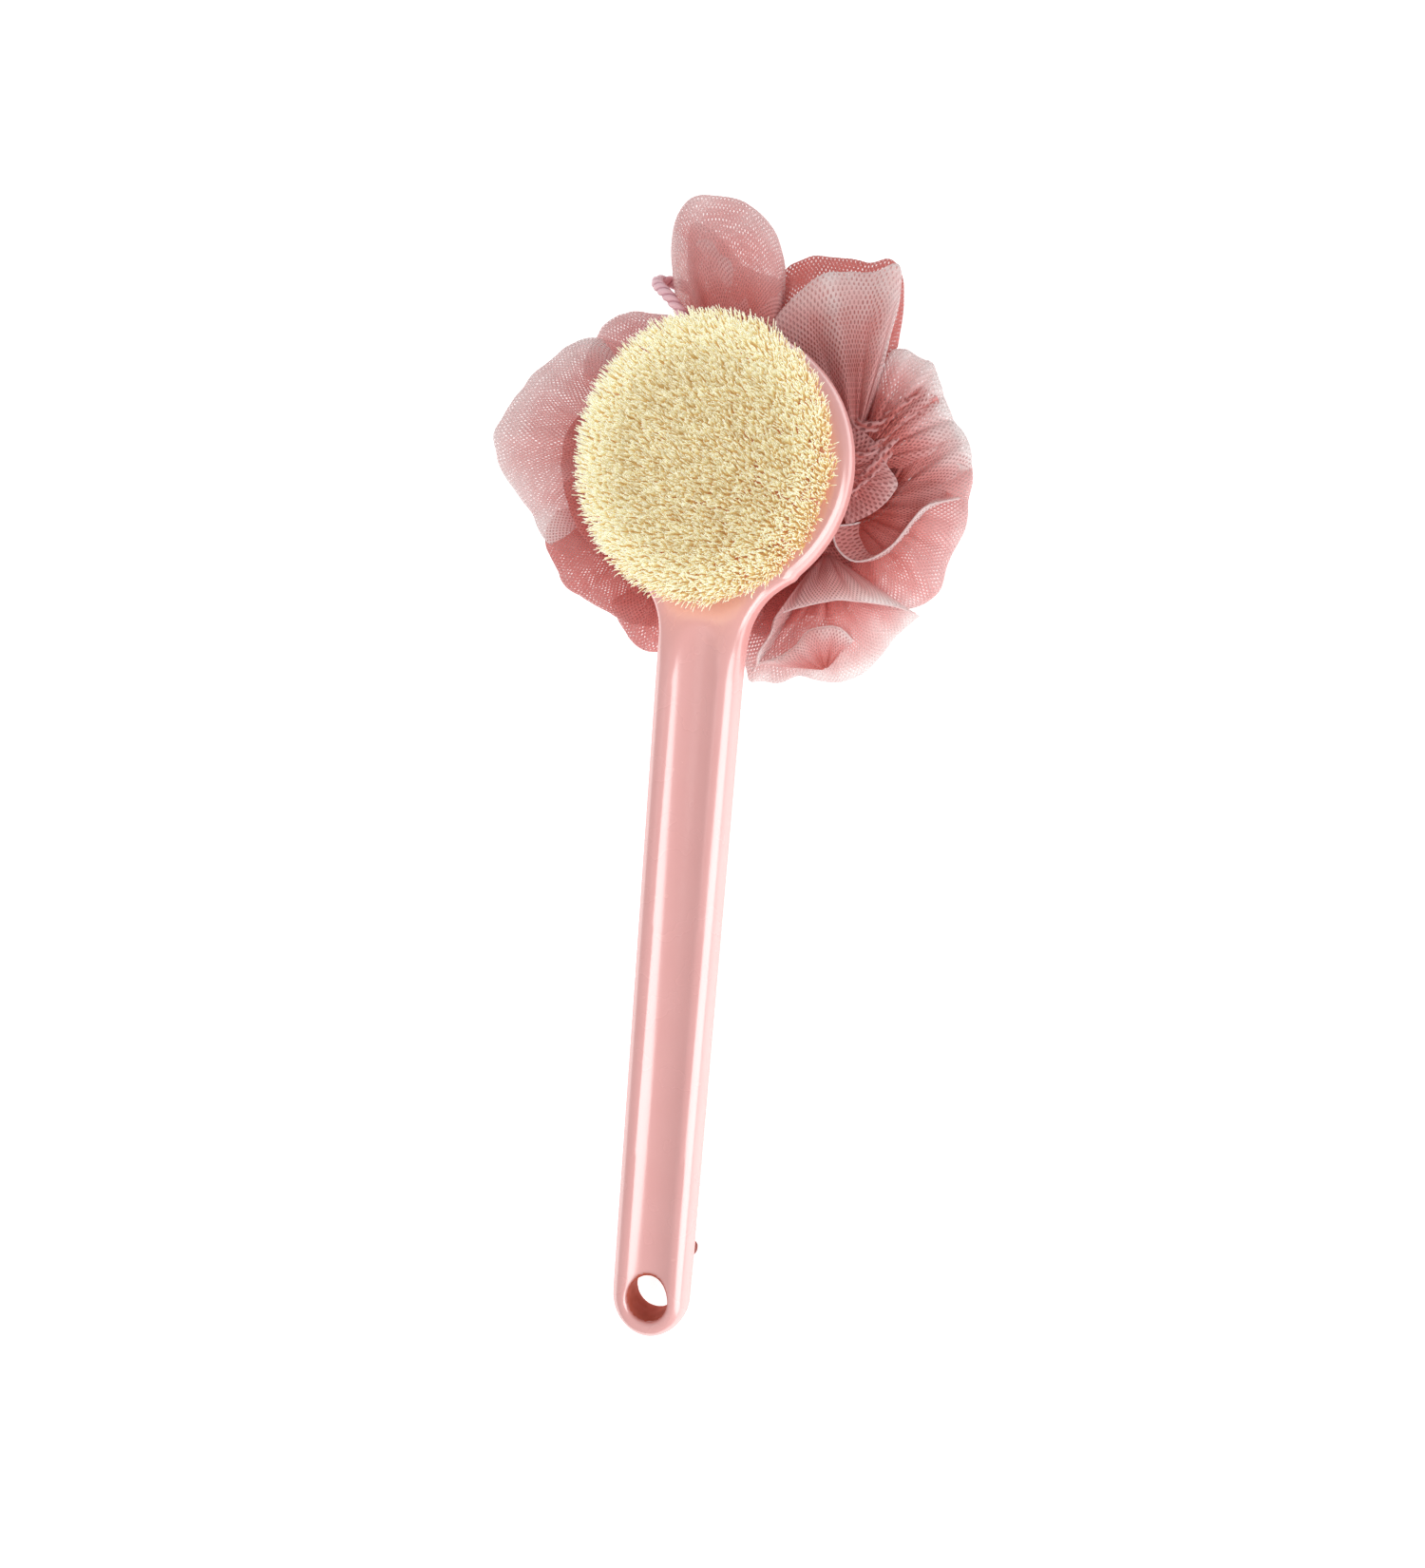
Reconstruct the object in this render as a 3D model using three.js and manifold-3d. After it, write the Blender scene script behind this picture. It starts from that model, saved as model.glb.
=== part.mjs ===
// Back scrubber: a long-handled bath brush with a netting pouf tied to the back of its head.
// It lies on its back, as it is put down: the pouf and the rear foot carry it, and the handle
// slopes down from the head to the tail. Millimetres, +Z up, head towards +Y.
//
// The pieces are drawn in the brush's own space: the head's centre is the origin, +Y runs from
// the handle to the top of the head, and +Z is the way the bristles point.

import * as THREE from 'three';
import { mergeVertices } from 'three/addons/utils/BufferGeometryUtils.js';
import Module from 'manifold-3d';

const wasm = await Module();
wasm.setup();

// ---- driving dimensions ----

const SLOPE_DEG = 9.5;          // the handle's slope while the scrubber lies on its back
const GAP = 0.3;                // clearance between touching pieces

const HEAD_R = 45;
const HEAD_HALF = 6;            // half of the head's thickness
const HEAD_EDGE_R = 4.5;        // rounding of the head's rim

// From the head's centre to the tail.
const LENGTH_BELOW_HEAD = 297;
const HANDLE_HALF_W = 14.6;     // half width at the neck
const TAIL_HALF_W = 13.5;       // half width where the round end begins
// Height of the handle's front over the head's middle plane, at the neck and at the tail.
const HANDLE_FRONT = 12.5;
const TAIL_FRONT = 10.5;
const NECK_FILLET_R = 25;
const NECK_RISE_START = 38;     // below the head's centre, where the front leaves the head's face
const NECK_RISE_LENGTH = 32;
const SECTION_POWER = 2.8;      // superellipse power of the handle's section
const SECTION_POINTS = 24;
const END_FADE_LENGTH = 7;      // the handle thins to a blunt edge over its last part
const END_EDGE_SHARE = 0.45;    // what is left of its thickness there

const GROOVE_R = 10.5;
const GROOVE_DEPTH = 4.2;
const GROOVE_TOP_Y = -57.5;     // centre of the groove's round upper end
const GROOVE_END_Y = -284;      // centre of the groove's round lower end

const HOLE_Y = -283.5;          // hanging hole
const HOLE_HALF_W = 7;
const HOLE_HALF_L = 7.5;

const FOOT_Y = -271.5;          // rear foot: a short rib across the back of the handle
const FOOT_HALF_W = 11.5;
const FOOT_HALF_L = 3;
const FOOT_HEIGHT = 7.8;

const TUFT_RINGS = [
  { count: 3, radius: 6.5 },
  { count: 8, radius: 20 },
  { count: 15, radius: 34 },
];
const TUFT_HOLE_R = 2.7;
const TUFT_HOLE_BOTTOM = -2.5;
const TUFT_ROOT_R = 2.2;
const TUFT_TIP_R = 5.3;
const TUFT_TIP_Z = 22;
// Outward lean of a tuft, per unit of its height and of its share of the head's radius.
const TUFT_LEAN = 0.12;
const TUFT_SIDES = 8;
const STAPLE = { length: 4, width: 0.7, height: 0.8 };

const POST_R = 4;
const POST_LENGTH = 6;
const FLANGE_R = 7;
const FLANGE_T = 3;

const RING_CORD_R = 2;          // the binding cord round the post
const RING_R = POST_R + GAP + RING_CORD_R + 0.2;
const RING_Z = -HEAD_HALF - 3.2;

const LOOP_CORD_R = 2;          // the hanging loop's cord
const LOOP_SIDES = 8;
const LOOP_STEPS = 44;
const LOOP_CLEARANCE = 0.5;     // between the loop's cord and the netting round it

const NET_TOP_Z = -HEAD_HALF - 3.6;
const NET_RECESS_R = RING_R + RING_CORD_R + 0.5;
const NET_RECESS_BOTTOM = -HEAD_HALF - POST_LENGTH - FLANGE_T - 1.5;

// Lobes of the pouf: centre, then half sizes. The first is its middle.
const NET_LOBES = [
  [0, 5, -35, 58, 56, 31],
  [-9, 66, -30, 20, 31, 18],
  [34, 53, -30, 24, 23, 19],
  [56, 20, -34, 24, 30, 23],
  [50, -20, -38, 30, 31, 24],
  [30, -46, -38, 27, 25, 21],
  [-54, 12, -36, 35, 40, 25],
  [-40, -34, -38, 28, 28, 22],
];

// The hanging loop leaves the binding ring and passes out behind the head. It turns down beyond
// the head's edge and comes back through the pouf.
const LOOP_ROUTE = [
  [-3, 10.6, -8.8], [-4.6, 18, -8.8], [-7.2, 26, -8.8], [-10.2, 34, -8.8], [-13.8, 42, -8.8],
  [-18, 49, -9], [-22.4, 54.4, -9.8], [-26.7, 58.4, -11.6], [-30.2, 61.4, -14.8],
  [-32.3, 63.8, -19], [-32.3, 65.4, -23.6], [-29.9, 66, -27.4], [-25.4, 65, -29.7],
  [-19.6, 62, -30], [-13.8, 57.2, -28.6], [-8.8, 51, -25.8], [-4.4, 43.6, -22.2],
  [-0.8, 35.4, -18], [1.8, 27, -13.8], [3.1, 18.4, -10.4], [3, 10.6, -8.8],
];

const PINK = 0xe6b1ad;
const NET_PINK = 0xdc8f89;
const CORD_MAUVE = 0xc98fa6;
const CREAM = 0xf2ead0;
const STEEL = 0xb8b4ac;

// ---- derived sizes ----

const slope = THREE.MathUtils.degToRad(SLOPE_DEG);
const tailRoundY = -LENGTH_BELOW_HEAD + TAIL_HALF_W;
const filletX = HANDLE_HALF_W + NECK_FILLET_R;
const filletY = -Math.sqrt((HEAD_R + NECK_FILLET_R) ** 2 - filletX ** 2);
// Height of the head's centre over the surface: the foot's sole lies on it.
const handleBackDrop = FOOT_Y * Math.sin(slope) - HEAD_HALF * Math.cos(slope);
const headHeight = FOOT_HEIGHT - handleBackDrop;

// ---- helpers ----

function toSolid(geometry) {
  const bare = geometry.index ? geometry.toNonIndexed() : geometry.clone();
  bare.deleteAttribute('normal');
  bare.deleteAttribute('uv');
  const merged = mergeVertices(bare, 1e-4);
  const mesh = new wasm.Mesh({
    numProp: 3,
    vertProperties: new Float32Array(merged.attributes.position.array),
    triVerts: new Uint32Array(merged.index.array),
  });
  return new wasm.Manifold(mesh);
}

function toGeometry(solid) {
  const mesh = solid.getMesh();
  const geometry = new THREE.BufferGeometry();
  const positions = new Float32Array(mesh.vertProperties);
  geometry.setAttribute('position', new THREE.BufferAttribute(positions, 3));
  geometry.setIndex(new THREE.BufferAttribute(new Uint32Array(mesh.triVerts), 1));
  return geometry;
}

// A cylinder along Z from z0 to z1.
function cylinder(radius, z0, z1, segments) {
  return new THREE.CylinderGeometry(radius, radius, z1 - z0, segments)
    .rotateX(Math.PI / 2)
    .translate(0, 0, (z0 + z1) / 2);
}

// A profile of [radius, z] points turned round Z. It starts and ends on the axis, lowest z first.
function turned(profile, segments) {
  const points = profile.map(([r, z]) => new THREE.Vector2(r, z));
  return new THREE.LatheGeometry(points, segments).rotateX(Math.PI / 2);
}

function smoothStep(t) {
  const u = THREE.MathUtils.clamp(t, 0, 1);
  return u * u * (3 - 2 * u);
}

function signedPower(value, power) {
  return Math.sign(value) * Math.abs(value) ** power;
}

function named(name, geometry, color, roughness, metalness = 0) {
  const material = new THREE.MeshStandardMaterial({ color, roughness, metalness });
  const mesh = new THREE.Mesh(geometry, material);
  mesh.name = name;
  return mesh;
}

// A block of space below the surface that the scrubber lies on, in the brush's own space.
function underFloor() {
  const depth = 60;
  const block = new THREE.BoxGeometry(400, 800, depth);
  block.translate(0, 0, -headHeight - depth / 2);
  return toSolid(block.rotateX(-slope));
}

// ---- brush body ----

function headDisc() {
  const profile = [[0, -HEAD_HALF]];
  const steps = 4;
  for (let i = 0; i <= steps; i++) {
    const a = (i / steps) * (Math.PI / 2);
    profile.push([
      HEAD_R - HEAD_EDGE_R + HEAD_EDGE_R * Math.sin(a),
      -HEAD_HALF + HEAD_EDGE_R - HEAD_EDGE_R * Math.cos(a),
    ]);
  }
  for (let i = 0; i <= steps; i++) {
    const a = (i / steps) * (Math.PI / 2);
    profile.push([
      HEAD_R - HEAD_EDGE_R + HEAD_EDGE_R * Math.cos(a),
      HEAD_HALF - HEAD_EDGE_R + HEAD_EDGE_R * Math.sin(a),
    ]);
  }
  profile.push([0, HEAD_HALF]);
  return turned(profile, 56);
}

function handleHalfWidth(y) {
  if (y > filletY) {
    return filletX - Math.sqrt(NECK_FILLET_R ** 2 - (y - filletY) ** 2);
  }
  if (y < tailRoundY) {
    return Math.sqrt(Math.max(0, TAIL_HALF_W ** 2 - (y - tailRoundY) ** 2));
  }
  return THREE.MathUtils.mapLinear(y, filletY, tailRoundY, HANDLE_HALF_W, TAIL_HALF_W);
}

// Height of the handle's front: it rises out of the head's face, then falls slowly to the tail.
function handleFront(y) {
  const rise = smoothStep((-y - NECK_RISE_START) / NECK_RISE_LENGTH);
  const fall = THREE.MathUtils.mapLinear(y, filletY, -LENGTH_BELOW_HEAD, HANDLE_FRONT, TAIL_FRONT);
  return HEAD_HALF + (fall - HEAD_HALF) * rise;
}

// Stations along the handle, close together in the neck and in the round tail.
function handleStations() {
  const neckTop = -HEAD_R + 9.5;
  const inNeck = 8;
  const alongHandle = 6;
  const turns = 9;
  const stations = [];
  for (let i = 0; i < inNeck; i++) {
    stations.push(THREE.MathUtils.lerp(neckTop, filletY, i / inNeck));
  }
  for (let i = 0; i < alongHandle; i++) {
    stations.push(THREE.MathUtils.lerp(filletY, tailRoundY, i / alongHandle));
  }
  for (let i = 0; i < turns; i++) {
    stations.push(tailRoundY - TAIL_HALF_W * Math.sin((i / turns) * (Math.PI / 2)));
  }
  return stations;
}

// The handle as rings of points, closed by a flat cap in the head and another at the tail.
function handleLoft() {
  const positions = [];
  const stations = handleStations();
  for (const y of stations) {
    const halfW = handleHalfWidth(y);
    const front = handleFront(y);
    const fade = THREE.MathUtils.clamp((y + LENGTH_BELOW_HEAD) / END_FADE_LENGTH, 0, 1);
    const shrink = END_EDGE_SHARE + (1 - END_EDGE_SHARE) * Math.sqrt(1 - (1 - fade) ** 2);
    const mid = (front - HEAD_HALF) / 2;
    const halfT = ((front + HEAD_HALF) / 2) * shrink;
    for (let i = 0; i < SECTION_POINTS; i++) {
      const a = (i / SECTION_POINTS) * 2 * Math.PI;
      positions.push(
        halfW * signedPower(Math.cos(a), 2 / SECTION_POWER),
        y,
        mid + halfT * signedPower(Math.sin(a), 2 / SECTION_POWER),
      );
    }
  }
  const rings = stations.length;
  const startCentre = rings * SECTION_POINTS;
  positions.push(0, stations[0], 0);
  positions.push(0, -LENGTH_BELOW_HEAD, (TAIL_FRONT - HEAD_HALF) / 2);
  const index = [];
  for (let r = 0; r + 1 < rings; r++) {
    for (let i = 0; i < SECTION_POINTS; i++) {
      const j = (i + 1) % SECTION_POINTS;
      const a = r * SECTION_POINTS + i;
      const b = r * SECTION_POINTS + j;
      index.push(a, b, a + SECTION_POINTS, b, b + SECTION_POINTS, a + SECTION_POINTS);
    }
  }
  const last = (rings - 1) * SECTION_POINTS;
  for (let i = 0; i < SECTION_POINTS; i++) {
    const j = (i + 1) % SECTION_POINTS;
    index.push(startCentre, j, i);
    index.push(startCentre + 1, last + i, last + j);
  }
  const geometry = new THREE.BufferGeometry();
  geometry.setAttribute('position', new THREE.Float32BufferAttribute(positions, 3));
  geometry.setIndex(index);
  return geometry;
}

function grooveCutter() {
  const midY = (GROOVE_TOP_Y + GROOVE_END_Y) / 2;
  const tilt = Math.atan((HANDLE_FRONT - TAIL_FRONT) / (LENGTH_BELOW_HEAD + filletY));
  return new THREE.CapsuleGeometry(GROOVE_R, GROOVE_TOP_Y - GROOVE_END_Y, 6, 28)
    .rotateX(tilt)
    .translate(0, midY, handleFront(midY) - GROOVE_DEPTH + GROOVE_R);
}

function hangingHoleCutter() {
  const reach = 30;
  return cylinder(1, -reach, reach, 28)
    .scale(HOLE_HALF_W, HOLE_HALF_L, 1)
    .translate(0, HOLE_Y, 0);
}

// The rear foot: upright on the surface, round-ended, and let into the back of the handle.
function rearFoot() {
  const straight = FOOT_HALF_W - FOOT_HALF_L;
  const outline = new THREE.Shape();
  outline.moveTo(-straight, -FOOT_HALF_L);
  outline.lineTo(straight, -FOOT_HALF_L);
  outline.absarc(straight, 0, FOOT_HALF_L, -Math.PI / 2, Math.PI / 2);
  outline.lineTo(-straight, FOOT_HALF_L);
  outline.absarc(-straight, 0, FOOT_HALF_L, Math.PI / 2, 1.5 * Math.PI);
  const intoHandle = 4;
  const depth = FOOT_HEIGHT + intoHandle;
  const rowY = (FOOT_Y + headHeight * Math.sin(slope)) / Math.cos(slope);
  return new THREE.ExtrudeGeometry(outline, { depth, bevelEnabled: false, curveSegments: 6 })
    .translate(0, rowY, -headHeight)
    .rotateX(-slope);
}

function post() {
  const top = -HEAD_HALF + 1;
  const neckEnd = -HEAD_HALF - POST_LENGTH;
  const chamfer = 1;
  return turned([
    [0, neckEnd - FLANGE_T],
    [FLANGE_R - chamfer, neckEnd - FLANGE_T],
    [FLANGE_R, neckEnd - FLANGE_T + chamfer],
    [FLANGE_R, neckEnd - chamfer],
    [POST_R, neckEnd + 0.5],
    [POST_R, top],
    [0, top],
  ], 24);
}

function brushBody(tufts) {
  let body = toSolid(headDisc())
    .add(toSolid(handleLoft()))
    .add(toSolid(post()))
    .add(toSolid(rearFoot()));
  body = body.subtract(toSolid(grooveCutter()));
  body = body.subtract(toSolid(hangingHoleCutter()));
  for (const tuft of tufts) {
    const hole = cylinder(TUFT_HOLE_R, TUFT_HOLE_BOTTOM, HEAD_HALF + 1, TUFT_SIDES);
    body = body.subtract(toSolid(hole.translate(tuft.x, tuft.y, 0)));
  }
  return named('brush_body', toGeometry(body), PINK, 0.25);
}

// ---- bristles ----

function tuftPlaces() {
  const places = [];
  for (const ring of TUFT_RINGS) {
    for (let i = 0; i < ring.count; i++) {
      const angle = Math.PI / 2 + (i / ring.count) * 2 * Math.PI;
      places.push({
        x: ring.radius * Math.cos(angle),
        y: ring.radius * Math.sin(angle),
        angle,
        share: ring.radius / HEAD_R,
      });
    }
  }
  return places;
}

function tuftNumber(i) {
  return String(i + 1).padStart(2, '0');
}

// A tuft: narrow in its hole, widening and leaning a little outwards above the face.
function tuft(place, i) {
  const bottom = TUFT_HOLE_BOTTOM + GAP + STAPLE.height + GAP;
  const geometry = turned([
    [0, bottom],
    [TUFT_ROOT_R, bottom],
    [TUFT_ROOT_R, HEAD_HALF + 1],
    [TUFT_TIP_R, HEAD_HALF + 8],
    [TUFT_TIP_R, TUFT_TIP_Z - 1],
    [TUFT_TIP_R - 1.2, TUFT_TIP_Z],
    [0, TUFT_TIP_Z],
  ], TUFT_SIDES);
  const position = geometry.attributes.position;
  for (let v = 0; v < position.count; v++) {
    const over = Math.max(0, position.getZ(v) - HEAD_HALF - 1);
    const shift = over * TUFT_LEAN * place.share;
    position.setX(v, position.getX(v) + shift * Math.cos(place.angle));
    position.setY(v, position.getY(v) + shift * Math.sin(place.angle));
  }
  const mesh = named(`tuft_${tuftNumber(i)}`, geometry, CREAM, 0.55);
  mesh.position.set(place.x, place.y, 0);
  return mesh;
}

function staple(place, i) {
  const geometry = new THREE.BoxGeometry(STAPLE.length, STAPLE.width, STAPLE.height);
  const mesh = named(`staple_${tuftNumber(i)}`, geometry, STEEL, 0.35, 0.9);
  mesh.position.set(place.x, place.y, TUFT_HOLE_BOTTOM + GAP + STAPLE.height / 2);
  return mesh;
}

// ---- pouf ----

function ellipsoid([x, y, z, a, b, c]) {
  return new THREE.SphereGeometry(1, 16, 10).scale(a, b, c).translate(x, y, z);
}

// The pouf's outer shape, flat where it lies on the surface and flat behind the head.
function netting() {
  let solid = toSolid(ellipsoid(NET_LOBES[0]));
  for (const lobe of NET_LOBES.slice(1)) {
    solid = solid.add(toSolid(ellipsoid(lobe)));
  }
  const behindHead = new THREE.BoxGeometry(400, 400, 100).translate(0, 0, NET_TOP_Z + 50);
  solid = solid.subtract(toSolid(behindHead));
  solid = solid.subtract(underFloor());
  solid = solid.subtract(toSolid(cylinder(NET_RECESS_R, NET_RECESS_BOTTOM, 0, 24)));
  solid = solid.subtract(toSolid(loopTube(LOOP_CORD_R + LOOP_CLEARANCE)));
  return named('netting', toGeometry(solid), NET_PINK, 0.8);
}

function bindingRing() {
  const geometry = new THREE.TorusGeometry(RING_R, RING_CORD_R, 8, 24);
  const mesh = named('binding_ring', geometry, CORD_MAUVE, 0.8);
  mesh.position.set(0, 0, RING_Z);
  return mesh;
}

// A round tube along the loop's route.
function loopTube(radius) {
  const points = LOOP_ROUTE.map((point) => new THREE.Vector3(...point));
  const path = new THREE.CatmullRomCurve3(points, false, 'centripetal');
  const section = new THREE.Shape();
  for (let i = 0; i < LOOP_SIDES; i++) {
    const a = ((i + 0.5) / LOOP_SIDES) * 2 * Math.PI;
    const x = radius * Math.cos(a);
    const y = radius * Math.sin(a);
    if (i === 0) {
      section.moveTo(x, y);
    } else {
      section.lineTo(x, y);
    }
  }
  section.closePath();
  return new THREE.ExtrudeGeometry(section, { steps: LOOP_STEPS, extrudePath: path });
}

function hangingLoop() {
  return named('hanging_loop', loopTube(LOOP_CORD_R), CORD_MAUVE, 0.8);
}

// ---- assembly ----

const places = tuftPlaces();
const brush = new THREE.Group();
brush.add(brushBody(places));
places.forEach((place, i) => brush.add(tuft(place, i), staple(place, i)));
const pouf = new THREE.Group();
pouf.add(netting(), bindingRing());
brush.add(pouf);
brush.rotation.x = slope;
brush.position.z = headHeight;

// The origin is under the middle of the whole scrubber, on the surface that it lies on.
const group = new THREE.Group();
group.add(brush);
group.updateMatrixWorld(true);
const extent = new THREE.Box3().setFromObject(group, true);
brush.position.x = -(extent.min.x + extent.max.x) / 2;
brush.position.y = -(extent.min.y + extent.max.y) / 2;
pouf.add(hangingLoop());
group.updateMatrixWorld(true);

export default group;
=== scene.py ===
"""Back scrubber in Blender: a long-handled bath brush with a netting pouf behind its head.

Pieces are drawn in the brush's own space, in millimetres: the head's centre is the origin, +Y
runs to the top of the head, and +Z is the way the bristles point. BRUSH puts them in the row
frame, in metres.
"""

import math
import random

import bpy
import numpy as np
import openvdb
from mathutils import Matrix, Vector, noise


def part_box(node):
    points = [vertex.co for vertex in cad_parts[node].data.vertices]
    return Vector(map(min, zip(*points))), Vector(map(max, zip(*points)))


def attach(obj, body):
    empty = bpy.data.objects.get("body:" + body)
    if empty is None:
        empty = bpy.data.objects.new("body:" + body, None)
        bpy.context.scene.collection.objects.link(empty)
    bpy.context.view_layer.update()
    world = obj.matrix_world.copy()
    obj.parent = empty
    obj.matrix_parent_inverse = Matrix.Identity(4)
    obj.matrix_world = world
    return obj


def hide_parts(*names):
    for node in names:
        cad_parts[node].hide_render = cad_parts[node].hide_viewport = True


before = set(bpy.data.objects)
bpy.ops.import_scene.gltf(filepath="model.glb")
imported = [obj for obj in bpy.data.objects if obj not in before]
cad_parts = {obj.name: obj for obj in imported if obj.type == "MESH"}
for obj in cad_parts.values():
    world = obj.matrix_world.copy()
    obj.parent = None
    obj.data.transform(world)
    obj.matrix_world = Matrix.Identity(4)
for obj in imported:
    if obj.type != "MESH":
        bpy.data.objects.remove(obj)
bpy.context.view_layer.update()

# ---- driving dimensions, as the CAD model has them (mm) ----

MM = 0.001
SLOPE = math.radians(9.5)

HEAD_R = 45
HEAD_HALF = 6
HEAD_EDGE_R = 4.5
LENGTH_BELOW_HEAD = 297
HANDLE_HALF_W = 14.6
TAIL_HALF_W = 13.5
HANDLE_FRONT = 12.5
TAIL_FRONT = 10.5
HANDLE_TOP_Y = -57.9
RISE_START_Y = -38
RISE_LENGTH = 32
NECK_FILLET_R = 25
GROOVE_R = 10.5
GROOVE_DEPTH = 4.2
GROOVE_TOP_Y = -57.5
GROOVE_END_Y = -284
HOLE_Y = -283.5
HOLE_HALF_W = 7
HOLE_HALF_L = 7.5
FOOT_Y = -271.5
FOOT_HALF_W = 11.5
FOOT_HALF_L = 3
FOOT_HEIGHT = 7.8
TUFT_RINGS = ((3, 6.5), (8, 20), (15, 34))
TUFT_HOLE_R = 2.7
TUFT_HOLE_BOTTOM = -2.5
STAPLE_MID_Z = TUFT_HOLE_BOTTOM + 0.3 + 0.4
POST_R = 4
POST_LENGTH = 6
FLANGE_R = 7
FLANGE_T = 3
RING_R = 6.5
RING_CORD_R = 2
RING_Z = -9.2
LOOP_CORD_R = 2

# ---- frames ----


def brush_frame():
    """The brush's own space in the row frame, found from the first staple of the inner ring."""
    low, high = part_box("staple_01")
    turn = Matrix.Rotation(SLOPE, 3, "X")
    local = Vector((0, TUFT_RINGS[0][1], STAPLE_MID_Z)) * MM
    place = (Vector(low) + Vector(high)) / 2 - turn @ local
    return Matrix.Translation(place) @ turn.to_4x4()


BRUSH = brush_frame()
HEAD_HEIGHT = BRUSH.translation.z / MM


def floor_z(y):
    """The brush-space height of the floor under a point at y."""
    return -(HEAD_HEIGHT + y * math.sin(SLOPE)) / math.cos(SLOPE)


# ---- pieces ----


def mesh_piece(name, points, faces, material):
    """A smooth-shaded piece from points in mm and faces that all have as many corners."""
    turn = np.array(BRUSH.to_3x3())
    points = (np.asarray(points) * MM @ turn.T + np.array(BRUSH.translation)).astype(np.float32)
    faces = np.asarray(faces, np.int32)
    count, corners = faces.shape
    mesh = bpy.data.meshes.new(name)
    mesh.vertices.add(len(points))
    mesh.vertices.foreach_set("co", points.ravel())
    mesh.loops.add(faces.size)
    mesh.loops.foreach_set("vertex_index", faces.ravel())
    mesh.polygons.add(count)
    mesh.polygons.foreach_set("loop_start", np.arange(0, faces.size, corners, dtype=np.int32))
    mesh.update(calc_edges=True)
    mesh.validate()
    mesh.polygons.foreach_set("use_smooth", np.ones(len(mesh.polygons), bool))
    mesh.materials.append(material)
    obj = bpy.data.objects.new(name, mesh)
    bpy.context.scene.collection.objects.link(obj)
    return obj


def point_values(obj, name, values):
    """Stores one number for each vertex, for the materials."""
    attribute = obj.data.attributes.new(name, "FLOAT", "POINT")
    attribute.data.foreach_set("value", np.asarray(values, np.float32).ravel())


def brush_points(obj):
    """The mesh's points in the brush's space, in mm."""
    points = np.zeros(3 * len(obj.data.vertices), np.float32)
    obj.data.vertices.foreach_get("co", points)
    turn = np.array(BRUSH.to_3x3())
    return (points.reshape(-1, 3) - np.array(BRUSH.translation)) @ turn / MM


def apply_modifiers(obj):
    """Turns what the modifiers make into the object's own mesh."""
    graph = bpy.context.evaluated_depsgraph_get()
    mesh = bpy.data.meshes.new_from_object(obj.evaluated_get(graph))
    obj.modifiers.clear()
    obj.data = mesh


def settle(obj, body, slot, *nodes):
    """The piece rides on the body and stands for these CAD nodes; slot is not used."""
    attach(obj, body)
    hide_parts(*nodes)


def smooth_step(t):
    """0 below t = 0 and 1 above t = 1, with a smooth rise between them."""
    u = np.clip(t, 0, 1)
    return u * u * (3 - 2 * u)


# ---- materials ----


def new_material(name):
    """A node material: its tree, its Principled shader and a function that adds nodes."""
    material = bpy.data.materials.new(name)
    material.use_nodes = True
    tree = material.node_tree
    shader = tree.nodes["Principled BSDF"]

    def add(kind, **inputs):
        node = tree.nodes.new(kind)
        for key, value in inputs.items():
            if key.startswith("set_"):
                setattr(node, key[4:], value)
            elif isinstance(value, bpy.types.NodeSocket):
                tree.links.new(value, node.inputs[key.replace("_", " ")])
            else:
                node.inputs[key.replace("_", " ")].default_value = value
        return node

    return material, tree, shader, add


def ramp(add, factor, *stops):
    """A colour ramp over the factor; each stop is (place, colour)."""
    node = add("ShaderNodeValToRGB", Fac=factor)
    elements = node.color_ramp.elements
    while len(elements) < len(stops):
        elements.new(1)
    for element, (place, colour) in zip(elements, stops):
        element.position = place
        element.color = (*colour, 1)
    return node.outputs["Color"]


def maths(add, operation, a, b=0.0):
    """A Math node on two numbers or sockets."""
    node = add("ShaderNodeMath", set_operation=operation)
    for socket, value in zip(node.inputs, (a, b)):
        if isinstance(value, bpy.types.NodeSocket):
            node.id_data.links.new(value, socket)
        else:
            socket.default_value = value
    return node.outputs[0]


def object_noise(add, scale, detail=2.0):
    """Noise fixed to the piece; the scale is features per metre."""
    place = add("ShaderNodeTexCoord").outputs["Object"]
    node = add("ShaderNodeTexNoise", Vector=place, Scale=scale, Detail=detail)
    return node.outputs["Fac"]


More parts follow.
